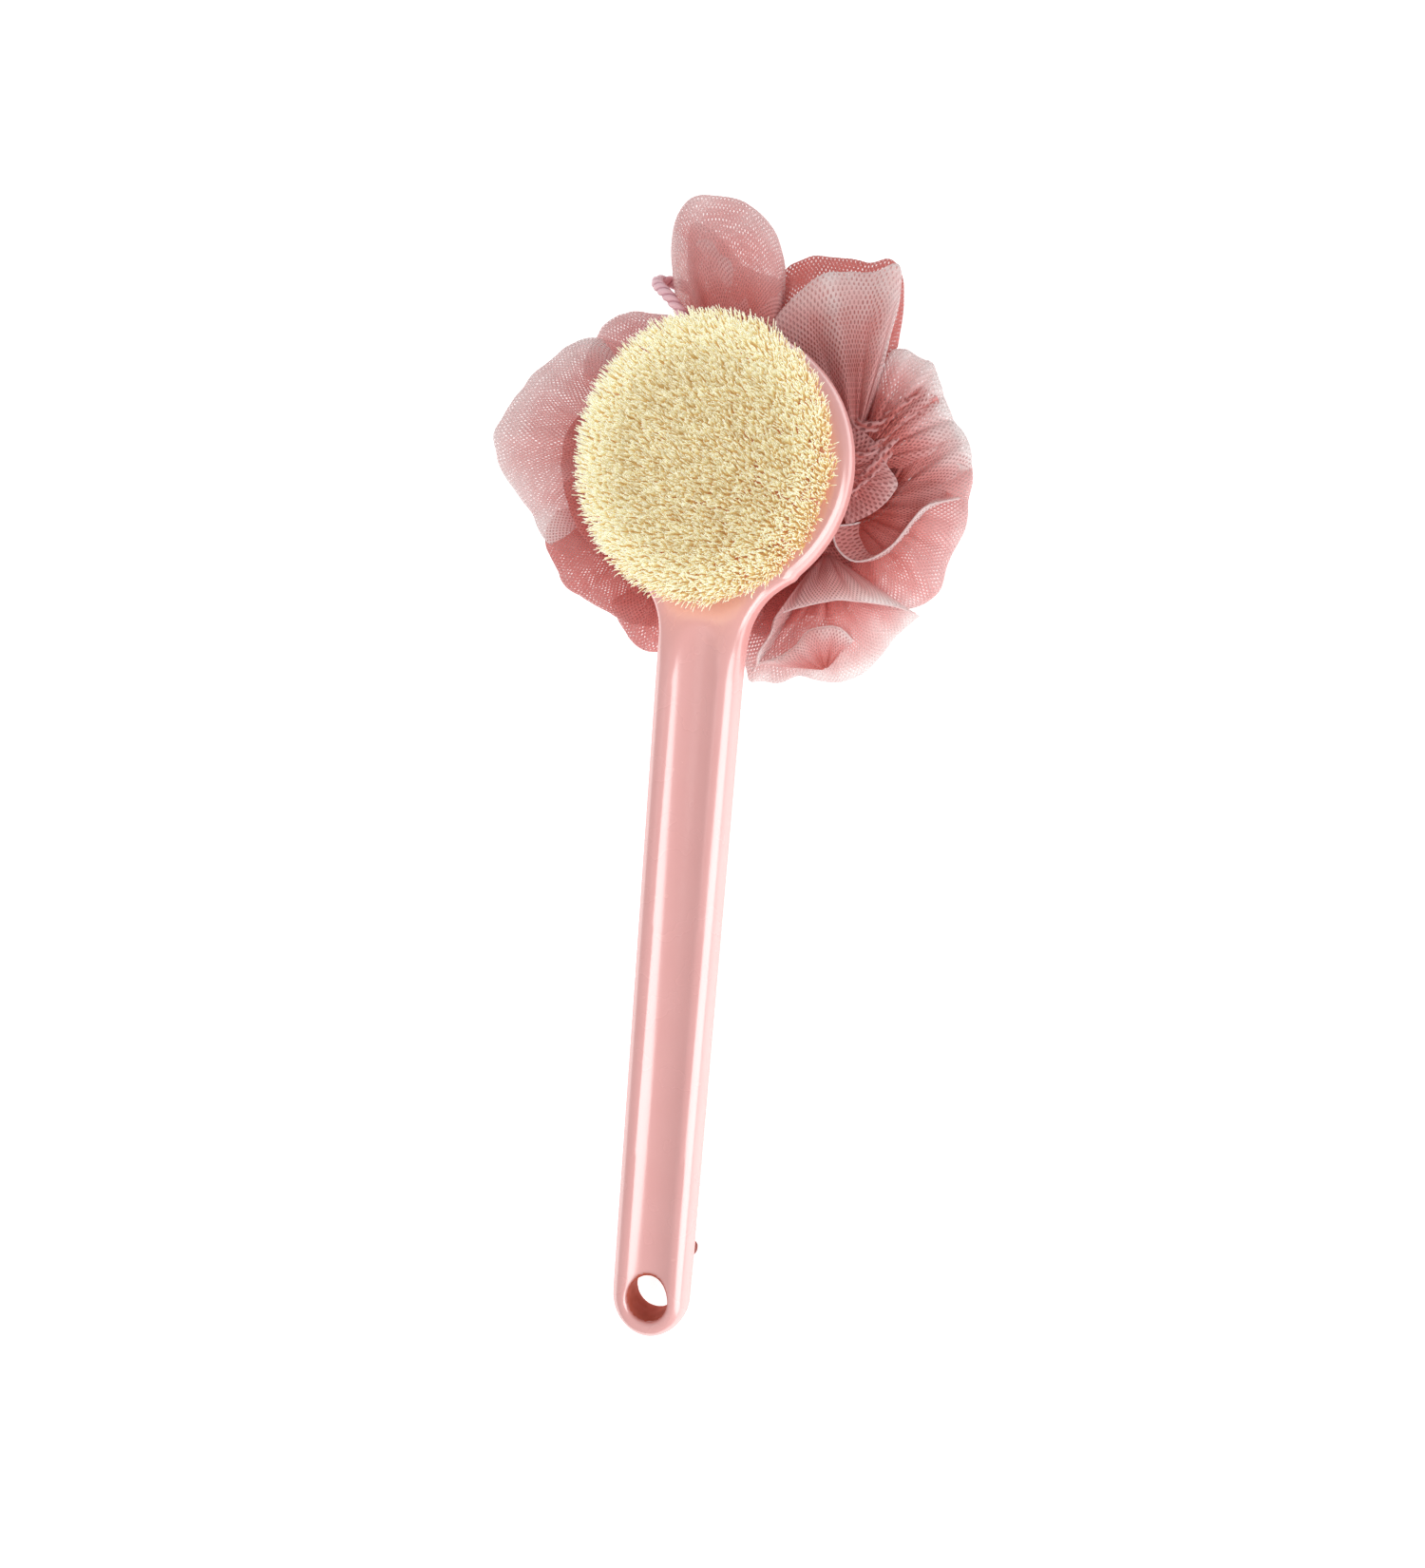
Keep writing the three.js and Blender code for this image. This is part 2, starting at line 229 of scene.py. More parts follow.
def moulding_material():
    """Glossy pink plastic, a little uneven in colour and gloss; it shines less seen edge on. Painted
    shade turns it deep red towards the hanging hole's wall.
    """
    material, tree, shader, add = new_material("pink_plastic")
    shade = object_noise(add, 60)
    colour = ramp(add, shade, (0.3, (0.835, 0.40, 0.38)), (0.7, (0.85, 0.42, 0.40)))
    # painted shade: towards the hanging hole's wall and on the foot the colour turns deep red
    red = add("ShaderNodeAttribute", set_attribute_name="painted_shade").outputs["Fac"]
    shaded = add("ShaderNodeMix", set_data_type="RGBA")
    tree.links.new(red, shaded.inputs["Factor"])
    tree.links.new(colour, shaded.inputs[6])
    shaded.inputs[7].default_value = (0.40, 0.075, 0.045, 1)
    tree.links.new(shaded.outputs[2], shader.inputs["Base Color"])
    gloss = add("ShaderNodeMapRange", Value=object_noise(add, 90), To_Min=0.25, To_Max=0.29)
    tree.links.new(gloss.outputs[0], shader.inputs["Roughness"])
    shader.inputs["IOR"].default_value = 1.7
    slant = add("ShaderNodeLayerWeight", Blend=0.5).outputs["Facing"]
    fade = dict(Value=slant, From_Min=0.45, From_Max=0.85)
    coat = add("ShaderNodeMapRange", **fade, To_Min=1.0, To_Max=0.0)
    tree.links.new(coat.outputs[0], shader.inputs["Coat Weight"])
    shine = add("ShaderNodeMapRange", **fade, To_Min=0.5, To_Max=0.08)
    tree.links.new(shine.outputs[0], shader.inputs["Specular IOR Level"])
    shader.inputs["Coat Roughness"].default_value = 0.2
    shader.inputs["Coat IOR"].default_value = 2.0
    return material


def painted_shade_material():
    """The same plastic, rough and with painted shade in deep red: the hanging hole's wall, then the
    foot.
    """
    material, tree, shader, add = new_material("pink_plastic_painted_shade")
    shade = object_noise(add, 250)
    # painted shade: dark red on the hanging hole's wall, and darker still on the foot
    colour = ramp(add, shade, (0.3, (0.42, 0.085, 0.05)), (0.7, (0.50, 0.12, 0.08)))
    red = add("ShaderNodeAttribute", set_attribute_name="painted_shade").outputs["Fac"]
    shaded = add("ShaderNodeMix", set_data_type="RGBA")
    tree.links.new(maths(add, "SUBTRACT", red, 1.0), shaded.inputs["Factor"])
    tree.links.new(colour, shaded.inputs[6])
    shaded.inputs[7].default_value = (0.27, 0.075, 0.06, 1)
    tree.links.new(shaded.outputs[2], shader.inputs["Base Color"])
    ripple = add("ShaderNodeBump", Height=object_noise(add, 1500), Strength=0.2, Distance=0.0002)
    tree.links.new(ripple.outputs[0], shader.inputs["Normal"])
    shader.inputs["Roughness"].default_value = 0.75
    shader.inputs["IOR"].default_value = 1.25
    return material


# ---- brush body ----

# The handle's section is a superellipse: its power falls from the neck's to the grip's.
NECK_POWER = 5.5
GRIP_POWER = 2.8
POWER_START_Y = -44
POWER_LENGTH = 24
HANDLE_ROOT_Y = -35.5
TAIL_ROUNDING = 7
TAIL_THINNEST = 0.45

# The moulding's field of distances: its spacing and its box, in mm.
FIELD_STEP = 0.7
FIELD_LOW = (-47.6, -301.0, -16.8)
FIELD_HIGH = (47.6, 47.6, 15.4)
SMOOTHINGS = 9

# How softly one part of the moulding runs into the next, in mm.
HANDLE_BLEND = 1.2
GROOVE_BLEND = 1.1
POST_BLEND = 0.5
FOOT_BLEND = 0.9
HOLE_BLEND = 0.8


def handle_half_width(y):
    """Half the handle's width: flared at the neck, straight, and round at the tail."""
    fillet_x = HANDLE_HALF_W + NECK_FILLET_R
    fillet_y = -math.sqrt((HEAD_R + NECK_FILLET_R) ** 2 - fillet_x**2)
    tail_y = -LENGTH_BELOW_HEAD + TAIL_HALF_W
    flare = fillet_x - np.sqrt(np.maximum(0, NECK_FILLET_R**2 - (y - fillet_y) ** 2))
    taper = np.interp(y, (tail_y, fillet_y), (TAIL_HALF_W, HANDLE_HALF_W))
    end = np.sqrt(np.maximum(0.04, TAIL_HALF_W**2 - (y - tail_y) ** 2))
    return np.where(y > fillet_y, flare, np.where(y < tail_y, end, taper))


def handle_front(y):
    """Height of the handle's front: it rises out of the head's face and falls to the tail."""
    rise = smooth_step((RISE_START_Y - y) / RISE_LENGTH)
    fall = np.interp(y, (-LENGTH_BELOW_HEAD, HANDLE_TOP_Y), (TAIL_FRONT, HANDLE_FRONT))
    return HEAD_HALF + (fall - HEAD_HALF) * rise


def smooth_max(a, b, blend):
    """The larger of two distances, rounded where they cross."""
    return 0.5 * (a + b + np.sqrt((a - b) ** 2 + blend**2))


def cylinder_distance(r, z, radius, low, high):
    """Distance from an upright cylinder; r is the distance from its axis."""
    dr = r - radius
    dz = np.abs(z - (low + high) / 2) - (high - low) / 2
    outside = np.hypot(np.maximum(dr, 0), np.maximum(dz, 0))
    return outside + np.minimum(np.maximum(dr, dz), 0)


def head_distance(x, y, z):
    """Distance from the head's disc with its rounded rim."""
    r = np.hypot(x, y)
    dr = r - (HEAD_R - HEAD_EDGE_R)
    dz = np.abs(z) - (HEAD_HALF - HEAD_EDGE_R)
    outside = np.hypot(np.maximum(dr, 0), np.maximum(dz, 0))
    return outside + np.minimum(np.maximum(dr, dz), 0) - HEAD_EDGE_R


def handle_distance(x, y, z):
    """Superellipse sections along the handle, boxier where they leave the head."""
    width = handle_half_width(y)
    front = handle_front(y)
    fade = np.clip((y + LENGTH_BELOW_HEAD) / TAIL_ROUNDING, 0, 1)
    thick = TAIL_THINNEST + (1 - TAIL_THINNEST) * np.sqrt(1 - (1 - fade) ** 2)
    half = (front + HEAD_HALF) / 2 * thick
    mid = (front - HEAD_HALF) / 2
    along = smooth_step((POWER_START_Y - y) / POWER_LENGTH)
    power = NECK_POWER - (NECK_POWER - GRIP_POWER) * along
    level = (np.abs(x) / width) ** power + (np.abs(z - mid) / half) ** power
    level = (level ** (1 / power) - 1) * half
    gx, gy, gz = np.gradient(level, FIELD_STEP)
    level = level / np.clip(np.sqrt(gx**2 + gy**2 + gz**2), 0.35, 4)
    return np.maximum(level, np.maximum(y - HANDLE_ROOT_Y, -LENGTH_BELOW_HEAD - y))


def groove_distance(x, y, z):
    """A round-ended channel along the front of the handle."""
    tilt = (HANDLE_FRONT - TAIL_FRONT) / (LENGTH_BELOW_HEAD + HANDLE_TOP_Y)
    along = np.clip(y, GROOVE_END_Y, GROOVE_TOP_Y)
    middle = (GROOVE_TOP_Y + GROOVE_END_Y) / 2
    height = handle_front(np.float64(middle)) - GROOVE_DEPTH + GROOVE_R + tilt * (along - middle)
    return np.sqrt(x**2 + (y - along) ** 2 + (z - height) ** 2) - GROOVE_R


def hole_distance(x, y):
    """Distance from the hanging hole's oval, across the handle."""
    stretch = HOLE_HALF_W / HOLE_HALF_L
    return np.hypot(x, (y - HOLE_Y) * stretch) - HOLE_HALF_W


def foot_distance(x, y, z):
    """The rib across the back of the handle, upright on the floor."""
    level_y = y * math.cos(SLOPE) - z * math.sin(SLOPE)
    level_z = y * math.sin(SLOPE) + z * math.cos(SLOPE) + HEAD_HEIGHT
    foot_y = (FOOT_Y + HEAD_HEIGHT * math.sin(SLOPE)) / math.cos(SLOPE)
    straight = FOOT_HALF_W - FOOT_HALF_L
    r = np.hypot(np.maximum(np.abs(x) - straight, 0), level_y - foot_y)
    return cylinder_distance(r, level_z, FOOT_HALF_L, 0, FOOT_HEIGHT + 4)


def post_distance(x, y, z):
    """The post behind the head and the flange on its end."""
    r = np.hypot(x, y)
    end = -HEAD_HALF - POST_LENGTH
    neck = cylinder_distance(r, z, POST_R, end - 1, -HEAD_HALF + 1)
    flange = cylinder_distance(r, z, FLANGE_R - 0.8, end - FLANGE_T + 0.8, end - 0.8) - 0.8
    return np.minimum(neck, flange)


def tuft_places():
    """(x, y, angle, ring radius) of every tuft, in the CAD nodes' order."""
    places = []
    for count, radius in TUFT_RINGS:
        for i in range(count):
            angle = math.pi / 2 + i / count * 2 * math.pi
            places.append((radius * math.cos(angle), radius * math.sin(angle), angle, radius))
    return places


def painted_shade(points):
    """1 in the hanging hole, 2 on the foot and 0 elsewhere: where the moulding gets painted shade."""
    x, y, z = points.T
    wall = np.exp(-((hole_distance(x, y) / 1.5) ** 4)) * smooth_step((handle_front(y) - 1.8 - z) / 2)
    foot = (y > FOOT_Y - 6) & (y < FOOT_Y + 6) & (z < -HEAD_HALF - 0.6)
    return np.maximum(wall, 2.0 * foot)


def moulding_distance(x, y, z):
    """Distance from the whole moulding: its parts joined, then the hole and the bores cut."""
    solid = -smooth_max(-head_distance(x, y, z), -handle_distance(x, y, z), HANDLE_BLEND)
    solid = smooth_max(solid, -groove_distance(x, y, z), GROOVE_BLEND)
    solid = -smooth_max(-solid, -post_distance(x, y, z), POST_BLEND)
    solid = -smooth_max(-solid, -foot_distance(x, y, z), FOOT_BLEND)
    solid = smooth_max(solid, -hole_distance(x, y), HOLE_BLEND)
    for tx, ty, _, _ in tuft_places():
        bore = cylinder_distance(np.hypot(x - tx, y - ty), z, TUFT_HOLE_R, TUFT_HOLE_BOTTOM, 30)
        solid = np.maximum(solid, -bore)
    return solid


def brush_body(material, hollow):
    """The moulding as one smooth surface, with the second material where it gets painted shade."""
    low, high = np.array(FIELD_LOW), np.array(FIELD_HIGH)
    counts = np.ceil((high - low) / FIELD_STEP).astype(int)
    axes = [low[i] + FIELD_STEP * np.arange(counts[i]) for i in range(3)]
    solid = moulding_distance(*np.meshgrid(*axes, indexing="ij"))
    band = 3 * FIELD_STEP
    grid = openvdb.FloatGrid(background=band)
    grid.copyFromArray(np.clip(solid, -band, band).astype(np.float32))
    grid.transform = openvdb.createLinearTransform(voxelSize=FIELD_STEP)
    points, quads = grid.convertToQuads()
    obj = mesh_piece("brush_body_moulding", points + low, quads[:, ::-1], material)
    smooth = obj.modifiers.new("smooth", "SMOOTH")
    smooth.factor = 0.5
    smooth.iterations = SMOOTHINGS
    apply_modifiers(obj)
    # painted shade: marks the hanging hole's wall and the foot, which are kept dark
    red = painted_shade(brush_points(obj))
    point_values(obj, "painted_shade", red)
    obj.data.materials.append(hollow)
    corners = np.zeros(len(obj.data.loops), np.int32)
    obj.data.loops.foreach_get("vertex_index", corners)
    second = red[corners].reshape(len(obj.data.polygons), -1).mean(1) > 0.6
    obj.data.polygons.foreach_set("material_index", second.astype(np.int32))
    settle(obj, "brush", "moulding", "brush_body")


# ---- camera ----


def photo_camera():
    """Above the scrubber, turned to the right of the head's front and a little low."""
    yaw, pitch, roll = (math.radians(a) for a in (14.7, 5.5, 4.6))
    distance = 450
    aim_x, aim_y = 2.09, 104.6
    turn = (
        Matrix.Rotation(-roll, 3, "Z")
        @ Matrix.Rotation(pitch, 3, "X")
        @ Matrix.Rotation(yaw, 3, "Y").transposed()
    )
    place = -(turn.transposed() @ Vector((aim_x, aim_y, -distance))) * MM
    data = bpy.data.cameras.new("camera")
    data.lens = 31.4
    data.clip_start = 0.01
    camera = bpy.data.objects.new("camera", data)
    bpy.context.scene.collection.objects.link(camera)
    camera.matrix_world = BRUSH @ Matrix.Translation(place) @ turn.transposed().to_4x4()
    bpy.context.scene.camera = camera


# ---- bristles ----

TIP_HALF_W = 43
TIP_HALF_L = 47
TIP_Z = 22
TIP_SHIFT_X = -1.5
TIP_SPACING = 0.66
CLUMP_SPACING = 1.5
BRISTLE_START_Z = TUFT_HOLE_BOTTOM + 1.6
LEVELS = np.array((0.0, 0.3, 0.55, 0.76, 0.9, 0.985, 1.0))
LEVEL_RADII = np.array((0.16, 0.20, 0.23, 0.24, 0.24, 0.20, 0.08))
BRISTLE_SIDES = 3

# The tips' heights: how far they scatter, rise with their clump and drop at the field's rim.
TIP_SCATTER = 0.5
CLUMP_RISE = 1.6
RIM_DROP = 4.0
# Filaments at the rim may stray outwards, and sink as they do.
STRAY_REACH = 4.4
STRAY_DROP = 3.5


def bristle_material():
    """Cream filaments, each a little lighter or darker, with painted shade turning them ochre towards
    their roots, painted light making the field's rim paler, and a faint glow of painted light.
    """
    material, tree, shader, add = new_material("cream_bristle")
    along = add("ShaderNodeAttribute", set_attribute_name="along").outputs["Fac"]
    shade = add("ShaderNodeAttribute", set_attribute_name="shade").outputs["Fac"]
    # painted shade: ochre towards the roots, deep in the field where the filaments shade each other
    colour = ramp(
        add,
        along,
        (0.55, (0.80, 0.60, 0.30)),
        (0.78, (0.87, 0.76, 0.46)),
        (0.90, (0.92, 0.915, 0.77)),
        (1.0, (0.95, 0.95, 0.88)),
    )
    # random tone per filament, and painted light that makes the field's rim paler
    tint = ramp(
        add,
        shade,
        (0.0, (0.74, 0.61, 0.40)),
        (0.3, (0.92, 0.89, 0.80)),
        (1.0, (1.0, 1.0, 1.0)),
    )
    mix = add("ShaderNodeMix", set_data_type="RGBA", set_blend_type="MULTIPLY")
    mix.inputs["Factor"].default_value = 1
    tree.links.new(colour, mix.inputs[6])
    tree.links.new(tint, mix.inputs[7])
    tree.links.new(mix.outputs[2], shader.inputs["Base Color"])
    shader.inputs["Roughness"].default_value = 0.42
    shader.inputs["Sheen Weight"].default_value = 0.15
    # painted light: the filaments glow a little in their own colour, standing in for light passed among
    # them
    tree.links.new(mix.outputs[2], shader.inputs["Emission Color"])
    shader.inputs["Emission Strength"].default_value = 0.43
    glow = add("ShaderNodeBsdfTranslucent", Color=mix.outputs[2])
    body = add("ShaderNodeMixShader", Fac=0.45)
    tree.links.new(shader.outputs[0], body.inputs[1])
    tree.links.new(glow.outputs[0], body.inputs[2])
    tree.links.new(body.outputs[0], tree.nodes["Material Output"].inputs["Surface"])
    return material


def scatter(cell):
    """A number from 0 to 1 for each clump, with no pattern from one to the next."""
    return np.modf(np.abs(np.sin(cell[:, 0] * 12.9898 + cell[:, 1] * 78.233)) * 43758.5453)[0]


def tip_field(rng):
    """Places of the filament tips: an even scatter over the oval field, drawn into clumps.

    Also a number for each tip, from 0 to 1, that is the same all over its clump.
    """
    rows = int(2 * TIP_HALF_L / (TIP_SPACING * 0.866)) + 2
    cols = int(2 * TIP_HALF_W / TIP_SPACING) + 2
    j, i = np.meshgrid(np.arange(rows), np.arange(cols))
    x = (i + 0.5 * (j % 2)) * TIP_SPACING - TIP_HALF_W - TIP_SPACING
    y = j * TIP_SPACING * 0.866 - TIP_HALF_L - TIP_SPACING
    tips = np.stack((x.ravel(), y.ravel()), 1)
    tips += rng.uniform(-0.5, 0.5, tips.shape) * TIP_SPACING
    reach = np.hypot(tips[:, 0] / TIP_HALF_W, tips[:, 1] / TIP_HALF_L)
    tips = tips[reach < rng.uniform(0.94, 1.0, len(tips))]
    cell = np.round(tips / CLUMP_SPACING + 0.35 * np.sin(tips[:, ::-1] * 1.3))
    clump = cell * CLUMP_SPACING + 0.9 * (np.stack((scatter(cell), scatter(cell[:, ::-1])), 1) - 0.5)
    pull = rng.uniform(0.2, 0.5, (len(tips), 1))
    tips = tips + (clump - tips) * pull
    return tips + (TIP_SHIFT_X, 0), scatter(cell + 0.37)


def filament_spines(rng, x, y, tips, clumps, share, edge):
    """Each filament's points, from a place in the hole at x, y to its tip.

    share is how far out the tip is in the field, and edge is 1 at the field's rim, where
    filaments are shorter and some stray outwards.
    """
    count = len(tips)
    angle = rng.uniform(0, 2 * math.pi, count)
    inset = TUFT_HOLE_R * 0.8 * np.sqrt(rng.uniform(0, 1, count))
    foot = np.stack((x + inset * np.cos(angle), y + inset * np.sin(angle)), 1)
    height = TIP_Z + rng.normal(0, TIP_SCATTER, count) + CLUMP_RISE * (clumps - 0.5)
    height -= RIM_DROP * np.clip((share - 0.85) / 0.15, 0, 1) ** 1.5
    lean = rng.uniform(0, 2 * math.pi, count) * 0.4 + clumps * 40
    bend = rng.uniform(0.4, 1.4, count) * (1 - 0.5 * edge)
    hook = bend[:, None] * np.stack((np.cos(lean), np.sin(lean)), 1)
    stray = edge * rng.uniform(0, 1, count) ** 1.6
    hook += (stray * STRAY_REACH / np.maximum(np.hypot(*tips.T), 1))[:, None] * tips
    height -= STRAY_DROP * stray
    points = []
    for level in LEVELS:
        bow = 1 - (1 - level) ** 2.6
        line = foot + (tips - foot) * bow
        line = line + hook * (level**6 - 0.4 * level**2)
        z = BRISTLE_START_Z + (height - BRISTLE_START_Z) * level
        points.append(np.column_stack((line, z)))
    return np.stack(points, 1)


def filament_mesh(spines, thick):
    """Closed three-sided filaments round their spines: points and triangles."""
    turn = np.arange(BRISTLE_SIDES) / BRISTLE_SIDES * 2 * math.pi
    section = np.stack((np.cos(turn), np.sin(turn), 0 * turn), 1)
    radius = LEVEL_RADII[None, :, None, None] * thick[:, None, None, None]
    points = spines[:, :, None, :] + radius * section[None, None]
    per = len(LEVELS) * BRISTLE_SIDES
    step = np.arange(len(LEVELS) - 1)[:, None] * BRISTLE_SIDES
    a = step + np.arange(BRISTLE_SIDES)[None]
    b = step + (np.arange(BRISTLE_SIDES)[None] + 1) % BRISTLE_SIDES
    lower = np.stack((a, b, b + BRISTLE_SIDES), -1).reshape(-1, 3)
    upper = np.stack((a, b + BRISTLE_SIDES, a + BRISTLE_SIDES), -1).reshape(-1, 3)
    top = np.array([[per - 3, per - 2, per - 1]])
    bottom = np.array([[2, 1, 0]])
    one = np.concatenate((lower, upper, top, bottom))
    faces = np.arange(len(spines))[:, None, None] * per + one[None]
    return points.reshape(-1, 3), faces.reshape(-1, 3)


def tufts(material):
    """26 bundles of tapered filaments that spread out of their holes to cover the head."""
    rng = np.random.default_rng(7)
    tips, clumps = tip_field(rng)
    places = tuft_places()
    roots = np.array([(x, y) for x, y, _, _ in places])
    nearest = np.argmin(
        ((tips[:, None, :] * (36 / TIP_HALF_L) - roots[None]) ** 2).sum(2)
        + rng.uniform(0, 30, (len(tips), len(places))),
        1,
    )
    for number, (x, y, _, _) in enumerate(places):
        own = tips[nearest == number]
        count = len(own)
        share = np.hypot((own[:, 0] - TIP_SHIFT_X) / TIP_HALF_W, own[:, 1] / TIP_HALF_L)
        edge = np.clip((share - 0.8) / 0.2, 0, 1)
        spines = filament_spines(rng, x, y, own, clumps[nearest == number], share, edge)
        thick = rng.uniform(0.85, 1.15, count) * (1 - 0.3 * edge)
        points, faces = filament_mesh(spines, thick)
        name = f"{number + 1:02d}"
        obj = mesh_piece(f"bristles_{name}", points, faces, material)
        along = np.broadcast_to(LEVELS[None, :, None], (count, len(LEVELS), BRISTLE_SIDES))
        point_values(obj, "along", along)
        # random tone, plus painted light that makes the field's rim paler
        tone_and_rim_light = 0.75 * rng.uniform(0, 1, count) + 0.5 * smooth_step((share - 0.6) / 0.35)
        point_values(obj, "shade", np.broadcast_to(tone_and_rim_light[:, None, None], along.shape))
        settle(obj, "brush", "bristle", f"tuft_{name}")


# ---- cords ----

STRANDS = 3
LOOP_PITCH = 11

# The middle line of the hanging loop, out from the ring and back to it, in mm.
LOOP_ROUTE = (
    (-3, 10.6, -8.8), (-4.6, 18, -8.8), (-7.2, 26, -8.8), (-10.2, 34, -8.8), (-13.8, 42, -8.8),
    (-18, 49, -9), (-22.4, 54.4, -9.8), (-26.7, 58.4, -11.6), (-30.2, 61.4, -14.8),
    (-32.3, 63.8, -19), (-32.3, 65.4, -23.6), (-29.9, 66, -27.4), (-25.4, 65, -29.7),
    (-19.6, 62, -30), (-13.8, 57.2, -28.6), (-8.8, 51, -25.8), (-4.4, 43.6, -22.2),
    (-0.8, 35.4, -18), (1.8, 27, -13.8), (3.1, 18.4, -10.4), (3, 10.6, -8.8),
)  # fmt: skip


def cord_material():
    """Soft mauve twisted cord, with painted shade between its strands."""
    material, tree, shader, add = new_material("mauve_cord")
    strand = add("ShaderNodeAttribute", set_attribute_name="strand").outputs["Fac"]
    # painted shade: dark where the strands meet, paler on their crowns
    colour = ramp(add, strand, (0.0, (0.50, 0.17, 0.23)), (0.6, (0.90, 0.56, 0.62)))
    tree.links.new(colour, shader.inputs["Base Color"])
    fibre = add("ShaderNodeBump", Height=object_noise(add, 4000), Strength=0.4, Distance=0.0001)
    tree.links.new(fibre.outputs[0], shader.inputs["Normal"])
    shader.inputs["Roughness"].default_value = 0.6
    shader.inputs["Sheen Weight"].default_value = 0.5
    shader.inputs["Sheen Roughness"].default_value = 0.4
    return material


def curve_points(control, count):
    """Evenly spaced points of the centripetal Catmull-Rom curve through control, and its length."""
    control = np.asarray(control, float)
    before, after = 2 * control[:1] - control[1:2], 2 * control[-1:] - control[-2:-1]
    control = np.concatenate((before, control, after))
    fine = []
    for i in range(1, len(control) - 2):
        p0, p1, p2, p3 = control[i - 1 : i + 3]
        k = [0.0]
        for a, b in ((p0, p1), (p1, p2), (p2, p3)):
            k.append(k[-1] + max(np.linalg.norm(b - a) ** 0.5, 1e-6))
        t = np.linspace(k[1], k[2], 24, endpoint=False)[:, None]
        a1 = (k[1] - t) / (k[1] - k[0]) * p0 + (t - k[0]) / (k[1] - k[0]) * p1
        a2 = (k[2] - t) / (k[2] - k[1]) * p1 + (t - k[1]) / (k[2] - k[1]) * p2
        a3 = (k[3] - t) / (k[3] - k[2]) * p2 + (t - k[2]) / (k[3] - k[2]) * p3
        b1 = (k[2] - t) / (k[2] - k[0]) * a1 + (t - k[0]) / (k[2] - k[0]) * a2
        b2 = (k[3] - t) / (k[3] - k[1]) * a2 + (t - k[1]) / (k[3] - k[1]) * a3
        fine.append((k[2] - t) / (k[2] - k[1]) * b1 + (t - k[1]) / (k[2] - k[1]) * b2)
    fine = np.concatenate(fine + [control[-2:-1]])
    length = np.concatenate(([0], np.cumsum(np.linalg.norm(np.diff(fine, axis=0), axis=1))))
    even = np.linspace(0, length[-1], count)
    return np.stack([np.interp(even, length, fine[:, i]) for i in range(3)], 1), length[-1]


def twisted_tube(name, path, radius, pitch, material, closed=False):
    """A tube of twisted strands along the path; pitch is the length of one full turn."""
    sides = 18
    tangent = np.gradient(path, axis=0)
    if closed:
        tangent = np.roll(path, -1, 0) - np.roll(path, 1, 0)
    tangent /= np.linalg.norm(tangent, axis=1)[:, None]
    side = np.cross(tangent, (0, 0, 1.0))
    side /= np.linalg.norm(side, axis=1)[:, None]
    up = np.cross(side, tangent)
    steps = np.linalg.norm(np.diff(path, axis=0), axis=1)
    along = np.concatenate(([0], np.cumsum(steps)))
    turn = np.arange(sides) / sides * 2 * math.pi
    phase = STRANDS / 2 * (turn[None] - along[:, None] / pitch * 2 * math.pi)
    lobes = np.abs(np.cos(phase))
    r = radius * (0.80 + 0.26 * lobes)[..., None]
    points = path[:, None] + r * (
        np.cos(turn)[None, :, None] * side[:, None] + np.sin(turn)[None, :, None] * up[:, None]
    )
    rings = len(path)
    i, j = np.meshgrid(np.arange(rings if closed else rings - 1), np.arange(sides), indexing="ij")
    start, after = i * sides, (i + 1) % rings * sides
    beside = (j + 1) % sides
    faces = np.stack((start + j, start + beside, after + beside, after + j), -1)
    obj = mesh_piece(name, points.reshape(-1, 3), faces.reshape(-1, 4), material)
    point_values(obj, "strand", lobes)
    return obj


def hanging_loop(material):
    """The pouf's loop: from the ring, round its bend past the head's edge, and back."""
    path, length = curve_points(LOOP_ROUTE, 300)
    obj = twisted_tube("loop_cord", path, LOOP_CORD_R, LOOP_PITCH, material)
    settle(obj, "pouf", "cord", "hanging_loop")


def binding(material):
    """The cord tied round the post: a closed ring."""
    turn = np.arange(72) / 72 * 2 * math.pi
    path = np.stack((RING_R * np.cos(turn), RING_R * np.sin(turn), 0 * turn + RING_Z), 1)
    pitch = 2 * math.pi * RING_R / 8
    obj = twisted_tube("binding_cord", path, RING_CORD_R, pitch, material, closed=True)
    settle(obj, "pouf", "cord", "binding_ring")


# ---- pouf ----

NET_CELL_U = 1.45
NET_CELL_V = 2.2
POUF_TOP_Z = -7.0
HEM_R = 0.34
HEM_VALUE = 1.1  # above 1, so that the material has no holes in it


def net_weave(add):
    """The lozenge pattern over the netting's UVs: highest in a hole's middle, low on threads."""
    uv = add("ShaderNodeUVMap", set_uv_map="net").outputs["UV"]
    split = add("ShaderNodeSeparateXYZ", Vector=uv)
    waver = maths(add, "MULTIPLY", object_noise(add, 90, 1), 5.0)
    u = maths(add, "MULTIPLY", split.outputs["X"], 2 * math.pi / NET_CELL_U)
    u = maths(add, "ADD", u, waver)
    v = maths(add, "MULTIPLY", split.outputs["Y"], 2 * math.pi / NET_CELL_V)
    v = maths(add, "ADD", v, waver)
    return maths(add, "MULTIPLY", maths(add, "COSINE", u), maths(add, "COSINE", v))


